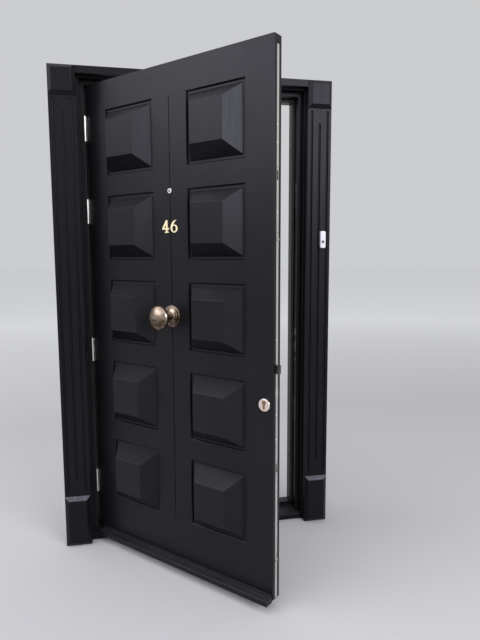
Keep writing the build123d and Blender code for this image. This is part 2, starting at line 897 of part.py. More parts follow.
def numeral_six():
    """A figure six: a bowl heavy at its sides and a tapering stroke curling over it."""
    half_width, half_bowl = numeral_width / 2, six_bowl_height / 2
    middle = Pos(half_width, half_bowl)
    bowl = middle * Ellipse(half_width, half_bowl)
    bowl -= middle * Ellipse(half_width - numeral_stem, half_bowl - numeral_hairline)
    outer, inner = (0, half_bowl), (numeral_stem, half_bowl)
    tip = (numeral_width - six_tip_setback, numeral_height)
    tail = SagittaArc(outer, tip, six_outer_bow)
    tail += SagittaArc(tip, inner, -six_inner_bow)
    return bowl + make_face(tail + Line(inner, outer))


def house_numerals():
    low = level(numeral_bottom)
    figures = []
    for side, figure in ((-1, numeral_four()), (1, numeral_six())):
        left = side * numeral_spacing / 2 - numeral_width / 2
        figures.append(through(Pos(left, low) * figure, -numeral_thickness, 0))
    return figures


# Frame
def sill():
    """The weathered sill with its inner upstand, narrower between the reveal linings."""
    outline = Polygon(
        (-sill_nose, 0),
        (frame_depth, 0),
        (frame_depth, sill_upstand_height),
        (stop_face, sill_upstand_height),
        (stop_face, sill_back_height),
        (-sill_nose, sill_nose_height),
        align=None,
    )
    body = extrude(side_plane(-frame_right) * outline, 2 * frame_right)
    nose = body.edges().filter_by(Axis.X).group_by(Axis.Y)[0].sort_by(Axis.Z)[-1]
    body = fillet(nose, sill_nose_round)
    for side in (-1, 1):
        x_range = sorted((side * lining_face, side * (frame_right + overcut)))
        body -= block(x_range, (-sill_nose - overcut, 0), (-overcut, sill_upstand_height))
    drip_y = (drip_setback - sill_nose, drip_setback + drip_width - sill_nose)
    return body - block((-lining_face, lining_face), drip_y, (-overcut, drip_depth))


def jamb_tenons(side):
    """The stub tenons at a jamb's foot and head."""
    middle = side * (rebate_right + jamb_thickness / 2)
    x_range = (middle - tenon_thickness / 2, middle + tenon_thickness / 2)
    y_range = (tenon_front, tenon_front + tenon_width)
    foot = block(x_range, y_range, (sill_nose_height - sill_tenon, sill_back_height))
    head = block(x_range, y_range, (head_face, head_top))
    return foot, head


def fixing_holes(side):
    """The two holes that fix a jamb to the wall at its side."""
    holes = []
    for step in (-0.5, 0.5):
        centre = Pos(fixing_setback, fixing_height + step * fixing_spacing) * Circle(fixing_radius)
        start = side_plane(side * (rebate_right - stop_projection - overcut))
        holes.append(extrude(start * centre, side * (jamb_thickness + stop_projection + 2 * overcut)))
    return holes


def jamb(side, sill_body):
    """A rebated side post scribed over the sill and tenoned top and bottom."""
    outer = sorted((side * rebate_right, side * frame_right))
    stop = sorted((side * (rebate_right - stop_projection), side * rebate_right))
    span = (sill_nose_height - overcut, head_face)
    post = block(outer, (0, frame_depth), span)
    post += block(stop, (stop_face, frame_depth), span)
    post -= sill_body
    foot, head = jamb_tenons(side)
    post = post + foot + head
    for hole in fixing_holes(side):
        post -= hole
    return post


def head_jamb():
    """The rebated top member, mortised for the side posts."""
    head = block((-frame_right, frame_right), (0, frame_depth), (head_face, head_top))
    inner = rebate_right - stop_projection
    head += block((-inner, inner), (stop_face, frame_depth), (head_face - stop_projection, head_face))
    for side in (-1, 1):
        head -= jamb_tenons(side)[1]
    return head


def frame_seal():
    """The strip that the shut leaf presses on, up both posts and across the head."""
    inset = (stop_projection - seal_width) / 2
    outer = rebate_right - inset
    inner = outer - seal_width
    top = head_face - inset
    depths = (leaf_thickness + seal_clearance, stop_face)
    strip = block((-outer, outer), depths, (sill_upstand_height, top))
    return strip - block((-inner, inner), depths, (sill_upstand_height - overcut, top - seal_width))


def side_lining(side):
    x_range = sorted((side * lining_face, side * frame_right))
    return block(x_range, (-lining_depth, 0), (0, head_face + lining_setback))


def head_lining():
    low = head_face + lining_setback
    return block((-frame_right, frame_right), (-lining_depth, 0), (low, head_top))


def lining_lap():
    """A cutter for the rebate by which the surround laps the front edges of the linings."""
    reach = frame_right + rebate_gap
    return block((-reach, reach), (-lining_depth, 0), (-overcut, head_top + rebate_gap))


def surround_x(side):
    return sorted((side * surround_inner, side * surround_outer))


def pilaster(side):
    """A flat column with three round-ended flutes, the middle one shorter."""
    low, high = plinth_height, pilaster_top
    column = block(surround_x(side), (surround_front, surround_back), (low, high)) - lining_lap()
    for index, place in enumerate(flute_places):
        shorter = middle_flute_step if index == 1 else 0
        start = low + flute_end / 2 + shorter
        end = high - flute_top_end - shorter
        x = side * (surround_inner + place)
        flute = Pos(x, surround_front, (start + end) / 2) * Cylinder(flute_radius, end - start)
        for tip in (start, end):
            flute += Pos(x, surround_front, tip) * Sphere(flute_radius)
        column -= flute
    return column


def bevelled_block(side, low, high, proud, bevel):
    """A block as wide as the pilaster with a bevelled front on all four sides."""
    x_range = surround_x(side)
    size = (surround_width, high - low)
    centre = (sum(x_range) / 2, (low + high) / 2)
    inner = (size[0] - 2 * bevel, size[1] - 2 * bevel)
    body = block(x_range, (surround_front, surround_back), (low, high)) - lining_lap()
    return body + frustum(centre, inner, surround_front - proud, size, surround_front)


def head_board():
    low = head_face + surround_setback
    depths = (surround_front, surround_back)
    return block((-surround_inner, surround_inner), depths, (low, surround_top)) - lining_lap()


def keep(span, openings):
    """A strike plate let into the lock jamb, with its openings."""
    x_range = (rebate_right, keep_back)
    plate = block(x_range, across_leaf(keep_width), [level(height) for height in span])
    for low, high, width in openings:
        z_range = (level(low), level(high))
        plate -= block(grown([x_range], overcut)[0], across_leaf(width), z_range)
    return plate


def keep_openings():
    """What each keep is cut for: its lowest and highest point and its width."""
    fit = keep_clearance
    wide = bolt_thickness + 2 * fit
    narrow = hook_thickness + 2 * fit
    hooks = []
    for height in hook_heights:
        hooks.append((height - hook_arm / 2 - fit, height + hook_reach + fit, narrow))
    dead = (*centred(deadbolt_height, deadbolt_size, fit), wide)
    latch = (*centred(latch_height, latch_size, fit), wide)
    return [hooks[0]], [dead, latch], [hooks[1]]


def keep_pockets():
    """Cutters for the keeps and for the bolts behind them in the lock jamb."""
    cutters = []
    for span, openings in zip(keep_spans, keep_openings()):
        z_range = [level(height) for height in span]
        cutters.append(block((rebate_right, keep_back), across_leaf(keep_width), z_range))
        for low, high, width in openings:
            foot = low - hook_pocket_drop if width < bolt_thickness else low
            pocket = (level(foot), level(high))
            cutters.append(block((rebate_right, pocket_back), across_leaf(width), pocket))
    return cutters


# Bell push
def bell_middle(drop=0):
    """The middle of the bell push, or a place below it."""
    return Pos(surround_inner + bell_inset, bell_height - drop)


def bell_front():
    return surround_front - bell_thickness


def bell_base():
    """The housing on the right pilaster, with a well for its button."""
    outline = bell_middle() * RectangleRounded(bell_width, bell_length, bell_corner)
    base = through(outline, bell_front(), surround_front)
    base = fillet(base.faces().sort_by(Axis.Y)[0].edges(), bell_edge)
    well = bell_middle(bell_button_drop) * Circle(bell_button_radius + bell_button_gap)
    return base - through(well, bell_front(), bell_front() + bell_well_depth)


def bell_button():
    front = bell_front() - bell_button_proud
    back = bell_front() + bell_well_depth - bell_button_travel - bell_button_gap
    button = through(bell_middle(bell_button_drop) * Circle(bell_button_radius), front, back)
    return fillet(button.edges().sort_by(Axis.Y)[0], bell_button_round)


# Assembly
def frame_pieces():
    """Every piece that stays with the wall."""
    sill_body = sill()
    hinge_jamb, lock_jamb = jamb(-1, sill_body), jamb(1, sill_body)
    for side in (-1, 1):
        sill_body -= jamb_tenons(side)[0]
    plates, pins, screws = [], [], []
    for height in hinge_heights:
        plates.append(hinge_half(height, False))
        pins.append(hinge_pin(height))
        screws += hinge_screws(height, False)
        hinge_jamb -= hinge_recess(height, False)
    for screw in screws:
        hinge_jamb -= screw
    for cutter in keep_pockets():
        lock_jamb -= cutter
    pieces = {
        "hinge_jamb": hinge_jamb,
        "lock_jamb": lock_jamb,
        "head_jamb": head_jamb(),
        "sill": sill_body,
        "head_reveal_lining": head_lining(),
        "head_board": head_board(),
        "frame_seal": frame_seal(),
        "frame_hinge_plates": plates,
        "hinge_pins": pins,
        "frame_hinge_screws": screws,
        "bell_push_base": bell_base(),
        "bell_push_button": bell_button(),
    }
    keep_names = ("lower_keep", "centre_keep", "upper_keep")
    for name, span, openings in zip(keep_names, keep_spans, keep_openings()):
        pieces[name] = keep(span, openings)
    for name, side in (("left", -1), ("right", 1)):
        pieces[f"{name}_reveal_lining"] = side_lining(side)
        pieces[f"{name}_pilaster"] = pilaster(side)
        pieces[f"{name}_plinth_block"] = bevelled_block(
            side, 0, plinth_height, plinth_proud, plinth_bevel
        )
        pieces[f"{name}_corner_block"] = bevelled_block(
            side, pilaster_top, surround_top, corner_proud, corner_bevel
        )
    return pieces


def leaf_pieces():
    """Every piece that swings with the leaf, in its shut place."""
    top_rail, bottom_rail = outer_rails()
    timber = {
        "hinge_stile": [stile(-1)],
        "lock_stile": [stile(1)],
        "left_muntin": [muntin(-1)],
        "right_muntin": [muntin(1)],
        "top_rail": [top_rail],
        "bottom_rail": [bottom_rail],
        "cross_rails": cross_rails(),
    }
    for cutter in opening_bevels():
        timber = {name: [member - cutter for member in members] for name, members in timber.items()}
    for name in ("left_muntin", "right_muntin"):
        for bore in furniture_bores():
            timber[name] = [member - bore for member in timber[name]]
    plates, screws = [], []
    for height in hinge_heights:
        plates.append(hinge_half(height, True))
        screws += hinge_screws(height, True)
        timber["hinge_stile"][0] -= hinge_recess(height, True)
    for screw in screws:
        timber["hinge_stile"][0] -= screw
    for pocket in lock_pockets():
        timber["lock_stile"][0] -= pocket
    pieces = dict(timber)
    for name, side in (("left", -1), ("right", 1)):
        for row in range(panel_rows):
            pieces[f"{name}_panel_{row + 1}"] = panel(side, row)
    pieces.update({
        "weather_bar": weather_bar(),
        "leaf_hinge_plates": plates,
        "leaf_hinge_screws": screws,
        "door_viewer": door_viewer(),
        "house_numerals": house_numerals(),
        "knob_rose": knob_rose(),
        "pull_knob": [pull_knob(), knob_nut()],
        "lock_faceplate": lock_faceplate(),
        "lock_cases": lock_cases(),
        "drive_rails": drive_rails(),
        "latch_bolt": latch_bolt(),
        "deadbolt": deadbolt(),
        "lower_hook": hook_bolt(hook_heights[0]),
        "upper_hook": hook_bolt(hook_heights[1]),
        "cylinder_body": cylinder_body(),
        "cylinder_plug": cylinder_plug(),
        "thumbturn": thumbturn(),
        "outer_escutcheon": outer_escutcheon(),
        "inner_backplate": inner_backplate(),
        "lever_handle": lever_handle(),
    })
    return pieces


def solids_of(piece):
    members = piece if isinstance(piece, list) else [piece]
    return [solid for member in members for solid in member.solids()]


def main():
    os.makedirs("parts", exist_ok=True)
    swing = Pos(pin_x, pin_y, 0) * Rot(0, 0, -open_angle) * Pos(-pin_x, -pin_y, 0)
    placed = {name: (piece, Pos(0, 0, 0)) for name, piece in frame_pieces().items()}
    placed.update({name: (piece, swing) for name, piece in leaf_pieces().items()})
    for name, (piece, place) in placed.items():
        solids = [solid.moved(place) for solid in solids_of(piece)]
        shape = solids[0] if len(solids) == 1 else Compound(children=solids)
        export_step(shape, f"parts/{name}.step")


main()
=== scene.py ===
"""Finishes and studio for a panelled timber front door, hung ajar in its frame.

The door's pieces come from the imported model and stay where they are. This file gives
them their paint, metals, rubber and plastics, fits the small screws and lenses, and
sets the floor, lights and camera. Metres, +Z up, +Y into the house.
"""
import json
from math import cos, radians, sin, tau

import bmesh
import bpy
from bpy.props import FloatProperty, FloatVectorProperty, IntProperty, PointerProperty
from mathutils import Matrix, Vector


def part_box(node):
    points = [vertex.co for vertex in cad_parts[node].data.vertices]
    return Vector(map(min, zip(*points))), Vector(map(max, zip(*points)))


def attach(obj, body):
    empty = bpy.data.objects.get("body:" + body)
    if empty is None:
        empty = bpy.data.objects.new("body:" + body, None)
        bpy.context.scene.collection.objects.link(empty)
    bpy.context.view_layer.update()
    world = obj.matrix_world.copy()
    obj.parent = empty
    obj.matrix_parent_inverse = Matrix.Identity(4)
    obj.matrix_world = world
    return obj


bl_info = {
    "name": "Panelled front door finishes",
    "version": (1, 0, 0),
    "blender": (4, 5, 0),
    "location": "3D View > Sidebar > Front Door",
    "description": "Paints a front door, fits its small hardware and sets its studio",
    "category": "Object",
}

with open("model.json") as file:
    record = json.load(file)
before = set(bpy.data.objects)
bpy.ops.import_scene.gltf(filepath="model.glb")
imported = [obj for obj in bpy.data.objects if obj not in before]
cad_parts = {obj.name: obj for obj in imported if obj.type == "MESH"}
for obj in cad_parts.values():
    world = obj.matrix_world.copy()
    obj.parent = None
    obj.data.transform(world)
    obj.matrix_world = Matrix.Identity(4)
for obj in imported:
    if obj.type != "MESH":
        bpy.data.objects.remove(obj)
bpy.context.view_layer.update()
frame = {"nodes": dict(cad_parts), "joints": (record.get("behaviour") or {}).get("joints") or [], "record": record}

# The leaf's hinge line, and the turn that carries the shut leaf to where it stands open
LEAF_SWING = next(joint for joint in frame["joints"] if joint["name"] == "leaf_swing")
HINGE = Vector(LEAF_SWING["pos_m"])
OPEN_ANGLE = radians(-LEAF_SWING["range_deg"][0])
TURN_OPEN = Matrix.Rotation(-OPEN_ANGLE, 4, "Z")
SWING = Matrix.Translation(HINGE) @ TURN_OPEN @ Matrix.Translation(-HINGE)

# Timber pieces whose grain runs level, on the leaf and in the frame
LEVEL_LEAF_PIECES = ("top_rail", "bottom_rail", "cross_rails", "weather_bar")
LEVEL_FRAME_PIECES = ("head_jamb", "sill", "head_reveal_lining", "head_board")

# Leaf timber jointed flush with its neighbours, whose edges stay sharp
STILES_AND_MUNTINS = ("hinge_stile", "lock_stile", "left_muntin", "right_muntin")
FLUSH_PIECES = (*STILES_AND_MUNTINS, "top_rail", "bottom_rail", "cross_rails")

PLINTHS = ("left_plinth_block", "right_plinth_block")
KEEPS = ("upper_keep", "centre_keep", "lower_keep")

# Stretch of the brush marks along each axis, and of a metal's marks with their depth
ALONG_Z, ALONG_X = (210.0, 210.0, 7.0), (7.0, 210.0, 210.0)
DRAWN, FINE, TURNED = ((900, 900, 40), 0.5), ((400, 400, 400), 0.15), ((60, 60, 900), 0.2)

# Heights of relief, in metres, that a metal's marks and a moulded skin's grain have
METAL_RELIEF, SKIN_RELIEF = 0.0001, 0.00005

# Height over which the knob turns from clean to its painted shade below, and how far it does
SHADE_BLEND, SHADE_AMOUNT = 0.014, 0.9

# How far the paint lapped over the faceplate wavers, and how soft its edge is
LAP_WAVER, LAP_SOFTNESS = 0.0003, 0.0002

# Gap over which a timber piece's faces join, and the steps and least angle of its bevels
JOIN_GAP, BEVEL_STEPS, BEVEL_ANGLE = 0.00002, 3, radians(25)

# Heights of the faceplate's screws above its foot, and the others' distance from an end
FACEPLATE_SCREWS = (0.04, 0.24, 0.42, 0.60, 0.69, 0.96, 1.17, 1.40, 1.63, 1.69, 1.90)
KEEP_SCREW_INSET, BACKPLATE_SCREW_INSET = 0.01, 0.012

# A viewer lens: its radius, how flat it is and how deep its middle is set in the rim
LENS_RADIUS, LENS_FLATNESS, LENS_SEAT = 0.0044, 0.45, 0.0008

# The floor's disc, and the distances from the lamps' middle over which it pales
FLOOR_RADIUS, FLOOR_SIDES = 60, 96
LAMPS_MIDDLE, PALES_FROM, PALES_TO = (0.5, -4.0, 0), 6.0, 12.5

# What the lamps are aimed at, their colour and their sizes
LAMP_TARGET, LAMP_COLOUR = Vector((0, -0.3, 1.1)), (0.95, 0.95, 1.0)
SKY_SIZE, SOFTBOX_SIZE = (8.6, 5.8), (4.5, 2.4)

# Sockets of a colour Mix node, which share their names with its other kinds
MIX_FACTOR, MIX_FIRST, MIX_SECOND, MIX_RESULT = 0, 6, 7, 2


# Settings
class FrontDoorPaint(bpy.types.PropertyGroup):
    colour: FloatVectorProperty(
        name="Paint", description="Colour of the satin paint", subtype="COLOR", size=3,
        default=(0.0068, 0.0057, 0.0067), min=0, max=1,
    )
    # The bluish tint of this colour paints the sky's highlight: a little of it is dust on upward faces, and on the
    # plinth blocks it is a painted highlight.
    dust_and_highlight: FloatVectorProperty(
        name="Dust", description="Colour of the dust lying on upward faces",
        subtype="COLOR", size=3, default=(0.32, 0.33, 0.37), min=0, max=1,
    )
    dust_amount: FloatProperty(
        name="Dust amount", description="How much of an upward face the dust covers",
        default=0.08, min=0, max=1, subtype="FACTOR",
    )
    # Painted highlight: the plinth blocks' upward bevels are covered fully in the pale bluish colour.
    plinth_highlight: FloatProperty(
        name="Plinth highlight", description="How much of the plinth blocks' bevels the dust covers",
        default=1.0, min=0, max=1, subtype="FACTOR",
    )
    roughness: FloatProperty(
        name="Roughness", description="Roughness of the dry paint film",
        default=0.36, min=0.05, max=1, subtype="FACTOR",
    )
    leaf_sheen: FloatProperty(
        name="Leaf sheen", description="How strongly the leaf's paint reflects",
        default=0.235, min=0, max=1, subtype="FACTOR",
    )
    frame_sheen: FloatProperty(
        name="Frame sheen", description="How strongly the older paint of the frame reflects",
        default=0.155, min=0, max=1, subtype="FACTOR",
    )
    sheen_tint: FloatVectorProperty(
        name="Sheen tint", description="Tint of the paint's reflection",
        subtype="COLOR", size=3, default=(0.86, 0.88, 1.0), min=0, max=1,
    )
    film_depth: FloatProperty(
        name="Film depth", description="Height of brush marks and ripples in the film",
        default=0.0004, min=0, max=0.002, unit="LENGTH", precision=5,
    )
    faceplate_lap: FloatProperty(
        name="Faceplate lap", description="Width of paint on each edge of the lock faceplate",
        default=0.0036, min=0, max=0.006, unit="LENGTH", precision=4,
    )
    arris: FloatProperty(
        name="Arris", description="Radius that paint leaves on the timber's edges",
        default=0.0014, min=0.0002, max=0.004, unit="LENGTH", precision=4,
    )


class FrontDoorMetals(bpy.types.PropertyGroup):
    steel: FloatVectorProperty(
        name="Steel", description="Satin steel of hinges, faceplate, bolts and viewer",
        subtype="COLOR", size=3, default=(0.74, 0.725, 0.70), min=0, max=1,
    )
    nickel: FloatVectorProperty(
        name="Nickel", description="Satin nickel of the lock guard and the inside furniture",
        subtype="COLOR", size=3, default=(0.90, 0.76, 0.72), min=0, max=1,
    )
    # The latch bolt and the keeps are given this steel, much darker than the rest of the steel.
    dark_steel: FloatVectorProperty(
        name="Dark steel", description="Greased dark steel of the latch bolt and the keeps",
        subtype="COLOR", size=3, default=(0.085, 0.08, 0.078), min=0, max=1,
    )
    aged_brass: FloatVectorProperty(
        name="Aged brass", description="Darkened brass of the pull knob and its rose",
        subtype="COLOR", size=3, default=(0.44, 0.35, 0.275), min=0, max=1,
    )
    # This brown film is tarnish on the brass, and is also the painted shade on the knob's lower half.
    tarnish_and_shade: FloatVectorProperty(
        name="Tarnish", description="Brown film that clouds brass and the knob's lower half",
        subtype="COLOR", size=3, default=(0.05, 0.026, 0.015), min=0, max=1,
    )
    bright_brass: FloatVectorProperty(
        name="Bright brass", description="Polished brass of the house numerals",
        subtype="COLOR", size=3, default=(1.0, 0.90, 0.61), min=0, max=1,
    )
    worn_brass: FloatVectorProperty(
        name="Worn brass", description="Brass of the lock cylinder and its plug, gone brown",
        subtype="COLOR", size=3, default=(0.40, 0.26, 0.155), min=0, max=1,
    )
    dull_film: FloatVectorProperty(
        name="Dull film", description="Film in the duller places of steel and nickel",
        subtype="COLOR", size=3, default=(0.48, 0.45, 0.42), min=0, max=1,
    )


class FrontDoorSmallParts(bpy.types.PropertyGroup):
    rubber: FloatVectorProperty(
        name="Seal", description="Rubber of the frame seal", subtype="COLOR", size=3,
        default=(0.028, 0.028, 0.03), min=0, max=1,
    )
    bell_case: FloatVectorProperty(
        name="Bell case", description="White plastic of the bell push", subtype="COLOR", size=3,
        default=(0.80, 0.80, 0.87), min=0, max=1,
    )
    bell_button: FloatVectorProperty(
        name="Bell button", description="Dark plastic of the bell's button",
        subtype="COLOR", size=3, default=(0.08, 0.08, 0.088), min=0, max=1,
    )
    bell_grime: FloatVectorProperty(
        name="Bell grime", description="Grime on the bell push", subtype="COLOR", size=3,
        default=(0.32, 0.31, 0.29), min=0, max=1,
    )
    seal_grime: FloatVectorProperty(
        name="Seal grime", description="Grime on the frame seal", subtype="COLOR", size=3,
        default=(0.12, 0.11, 0.1), min=0, max=1,
    )
    lens_glass: FloatVectorProperty(
        name="Lens glass", description="Dark glass of the viewer's lenses",
        subtype="COLOR", size=3, default=(0.012, 0.013, 0.015), min=0, max=1,
    )
    lens_haze: FloatVectorProperty(
        name="Lens haze", description="Haze on the viewer's lenses", subtype="COLOR", size=3,
        default=(0.05, 0.05, 0.05), min=0, max=1,
    )
    screw_sides: IntProperty(
        name="Screw sides", description="Sides of each screw's round head",
        default=20, min=8, max=48,
    )
    faceplate_screw_radius: FloatProperty(
        name="Faceplate screw", description="Head radius of the faceplate's screws",
        default=0.0042, min=0.001, max=0.006, unit="LENGTH", precision=4,
    )
    keep_screw_radius: FloatProperty(
        name="Keep screw", description="Head radius of the keeps' screws",
        default=0.0042, min=0.001, max=0.006, unit="LENGTH", precision=4,
    )
    backplate_screw_radius: FloatProperty(
        name="Backplate screw", description="Head radius of the backplate's screws",
        default=0.0035, min=0.001, max=0.006, unit="LENGTH", precision=4,
    )


class FrontDoorStudio(bpy.types.PropertyGroup):
    floor: FloatVectorProperty(
        name="Floor", description="Colour of the floor round the door", subtype="COLOR", size=3,
        default=(0.52, 0.52, 0.53), min=0, max=1,
    )
    far_floor: FloatVectorProperty(
        name="Far floor", description="Colour of the floor where it meets the air",
        subtype="COLOR", size=3, default=(0.98, 0.98, 0.98), min=0, max=1,
    )
    air: FloatVectorProperty(
        name="Air", description="Colour of the light from all round and of the background",
        subtype="COLOR", size=3, default=(0.97, 0.98, 1.0), min=0, max=1,
    )
    ambient: FloatProperty(
        name="Ambient", description="Strength of the light from all round",
        default=0.62, min=0, max=1,
    )
    sky_power: FloatProperty(
        name="Sky light", description="Power of the wide light overhead",
        default=160, min=0, max=2000, unit="POWER",
    )
    front_power: FloatProperty(
        name="Front light", description="Power of the high soft light in front",
        default=300, min=0, max=1000, unit="POWER",
    )
    left_power: FloatProperty(
        name="Left light", description="Power of the soft light at the left",
        default=100, min=0, max=1000, unit="POWER",
    )
    eye: FloatVectorProperty(
        name="Camera place", description="Where the camera stands", subtype="TRANSLATION",
        unit="LENGTH", size=3, default=(-0.3069, -2.4904, 1.2953),
    )
    yaw: FloatProperty(
        name="Camera yaw", description="Turn of the camera towards +X", unit="ROTATION",
        default=radians(11.506),
    )
    pitch: FloatProperty(
        name="Camera pitch", description="Tilt of the camera above level", unit="ROTATION",
        default=radians(-6.69),
    )
    roll: FloatProperty(
        name="Camera roll", description="Turn of the camera about its own line of sight",
        unit="ROTATION", default=radians(-0.215),
    )
    lens: FloatProperty(
        name="Lens", description="Focal length for a frame 36 mm tall",
        default=30.53, min=5, max=200, unit="CAMERA",
    )


# Small tools
def add_node(tree, kind, inputs=None, **settings):
    """Adds a node with its settings, and fills or links its inputs."""
    node = tree.nodes.new(kind)
    for key, value in settings.items():
        setattr(node, key, value)
    for key, value in (inputs or {}).items():
        if isinstance(value, bpy.types.NodeSocket):
            tree.links.new(value, node.inputs[key])
        else:
            node.inputs[key].default_value = value
    return node


def calculate(tree, operation, first, second=0.0, clamp=False):
    """The result of a Math node."""
    settings = {"operation": operation, "use_clamp": clamp}
    return add_node(tree, "ShaderNodeMath", {0: first, 1: second}, **settings).outputs[0]


def mix_colours(tree, factor, first, second, blend="MIX"):
    """Two colours blended by a factor."""
    inputs = {MIX_FACTOR: factor, MIX_FIRST: first, MIX_SECOND: second}
    node = add_node(tree, "ShaderNodeMix", inputs, data_type="RGBA", blend_type=blend)
    return node.outputs[MIX_RESULT]


def span(tree, value, low, high, to_low=0.0, to_high=1.0):
    """A value's range moved to another, held at both ends."""
    source = {"Value": value, "From Min": low, "From Max": high}
    inputs = {**source, "To Min": to_low, "To Max": to_high}
    return add_node(tree, "ShaderNodeMapRange", inputs).outputs["Result"]


def noise(tree, vector, scale, detail=2.0, roughness=0.5):
    """Noise between 0 and 1 over a vector."""
    inputs = {"Vector": vector, "Scale": scale, "Detail": detail, "Roughness": roughness}
    return add_node(tree, "ShaderNodeTexNoise", inputs).outputs["Fac"]


def stretched(tree, vector, stretch):
    """A vector scaled along each axis."""
    node = add_node(tree, "ShaderNodeVectorMath", {0: vector, 1: stretch}, operation="MULTIPLY")
    return node.outputs["Vector"]


def shaded(tree, colour, shade):
    """A colour multiplied by a grey shade."""
    grey = add_node(tree, "ShaderNodeCombineColor", {0: shade, 1: shade, 2: shade})
    return mix_colours(tree, 1.0, colour, grey.outputs["Color"], "MULTIPLY")


def solid(colour):
    """A colour with full alpha."""
    return (*colour, 1.0)


def node_of(tree, kind):
    """The first node of a kind in a tree."""
    return next(node for node in tree.nodes if node.type == kind)


def cleared_tree(holder):
    """The node tree of a material or a world, emptied."""
    holder.use_nodes = True
    holder.node_tree.nodes.clear()
    return holder.node_tree


def new_group(name, inputs, outputs):
    """An empty node group with named sockets, and its two end nodes."""
    tree = bpy.data.node_groups.new(name, "ShaderNodeTree")
    for socket, kind, default in inputs:
        made = tree.interface.new_socket(name=socket, in_out="INPUT", socket_type=kind)
        if default is not None:
            made.default_value = default
    for socket, kind in outputs:
        tree.interface.new_socket(name=socket, in_out="OUTPUT", socket_type=kind)
    return tree, tree.nodes.new("NodeGroupInput").outputs, tree.nodes.new("NodeGroupOutput")


def finish_outputs(tree, end, values):
    """Links a group's results to its output sockets."""
    for socket, value in values.items():
        tree.links.new(value, end.inputs[socket])


FLOAT, COLOUR, VECTOR = "NodeSocketFloat", "NodeSocketColor", "NodeSocketVector"
SURFACE_OUTPUTS = (("Colour", COLOUR), ("Roughness", FLOAT), ("Height", FLOAT))


# Shared effects
def paint_film_group():
    """Brushed satin paint: streaks along the grain, slow ripples, pits, and dust on upward faces, which where it
    covers fully is a painted highlight.
    """
    inputs = (
        ("Vector", VECTOR, None),
        ("Stretch", VECTOR, ALONG_Z),
        ("Paint", COLOUR, None),
        ("Dust", COLOUR, None),
        ("Dust Amount", FLOAT, 0.2),
        ("Roughness", FLOAT, 0.4),
    )
    tree, given, end = new_group("paint_film", inputs, SURFACE_OUTPUTS)
    streaks = noise(tree, stretched(tree, given["Vector"], given["Stretch"]), 1.0, 3.0, 0.6)
    ripples = noise(tree, given["Vector"], 7.0, 2.0)
    patches = noise(tree, given["Vector"], 2.3, 3.0)
    pits = noise(tree, given["Vector"], 620.0, 1.0)
    specks = noise(tree, given["Vector"], 160.0, 2.0, 0.7)
    normal = add_node(tree, "ShaderNodeNewGeometry").outputs["Normal"]
    upward = add_node(tree, "ShaderNodeSeparateXYZ", {"Vector": normal}).outputs["Z"]
    # Upward faces take the pale bluish colour: a little of it is real dust, and at full amount it is a painted
    # highlight from above.
    lying = span(tree, upward, 0.25, 0.95)
    broken = span(tree, specks, 0.35, 0.7, 0.35, 1.0)
    drift = span(tree, patches, 0.3, 0.7, 0.5, 1.0)
    dust_and_highlight_cover = calculate(tree, "MULTIPLY", calculate(tree, "MULTIPLY", lying, broken), drift)
    dust_and_highlight_cover = calculate(tree, "MULTIPLY", dust_and_highlight_cover, given["Dust Amount"])
    shade = span(tree, streaks, 0.3, 0.7, 0.86, 1.12)
    shade = calculate(tree, "MULTIPLY", shade, span(tree, patches, 0.3, 0.7, 0.9, 1.1))
    film = shaded(tree, given["Paint"], shade)
    patchy = span(tree, patches, 0.3, 0.7, -0.035, 0.035)
    rough = calculate(tree, "ADD", given["Roughness"], patchy)
    rough = calculate(tree, "ADD", rough, span(tree, streaks, 0.3, 0.7, -0.03, 0.03))
    height = calculate(tree, "MULTIPLY", streaks, 0.22)
    height = calculate(tree, "ADD", height, calculate(tree, "MULTIPLY", ripples, 2.0))
    height = calculate(tree, "ADD", height, calculate(tree, "MULTIPLY", pits, 0.05))
    dry = calculate(tree, "MULTIPLY", dust_and_highlight_cover, 0.8)
    finish_outputs(tree, end, {
        "Colour": mix_colours(tree, dust_and_highlight_cover, film, given["Dust"]),
        "Roughness": calculate(tree, "ADD", rough, dry, True),
        "Height": height,
    })
    return tree


def worked_metal_group():
    """Worked metal: fine lines one way, handling marks and a film in the duller places, with the same film spread
    as painted shade where the shade input is set.
    """
    inputs = (
        ("Vector", VECTOR, None),
        ("Stretch", VECTOR, (900.0, 900.0, 40.0)),
        ("Metal", COLOUR, None),
        ("Film", COLOUR, None),
        ("Film Amount", FLOAT, 0.2),
        ("Tarnish", FLOAT, 0.0),
        ("Roughness", FLOAT, 0.3),
        ("Line Depth", FLOAT, 0.3),
    )
    tree, given, end = new_group("worked_metal", inputs, SURFACE_OUTPUTS)
    lines = noise(tree, stretched(tree, given["Vector"], given["Stretch"]), 1.0, 3.0, 0.6)
    marks = noise(tree, given["Vector"], 60.0, 4.0, 0.65)
    clouds = noise(tree, given["Vector"], 16.0, 3.0, 0.55)
    filmed = calculate(tree, "MULTIPLY", span(tree, clouds, 0.42, 0.68), given["Film Amount"])
    # Painted shade: where the shade input is set, the film covers the metal in patches, as on the knob's lower
    # half.
    patchy = span(tree, marks, 0.38, 0.56, 0.6, 1.0)
    painted_shade = calculate(tree, "MULTIPLY", patchy, given["Tarnish"])
    filmed = calculate(tree, "MAXIMUM", filmed, painted_shade)
    shade = span(tree, lines, 0.3, 0.7, 0.93, 1.05)
    clean = shaded(tree, given["Metal"], shade)
    handled = span(tree, marks, 0.35, 0.65, -0.05, 0.07)
    rough = calculate(tree, "ADD", given["Roughness"], handled)
    rough = calculate(tree, "ADD", rough, calculate(tree, "MULTIPLY", filmed, 0.25), True)
    height = calculate(tree, "MULTIPLY", lines, given["Line Depth"])
    finish_outputs(tree, end, {
        "Colour": mix_colours(tree, filmed, clean, given["Film"]),
        "Roughness": rough,
        "Height": calculate(tree, "ADD", height, calculate(tree, "MULTIPLY", marks, 0.1)),
    })
    return tree


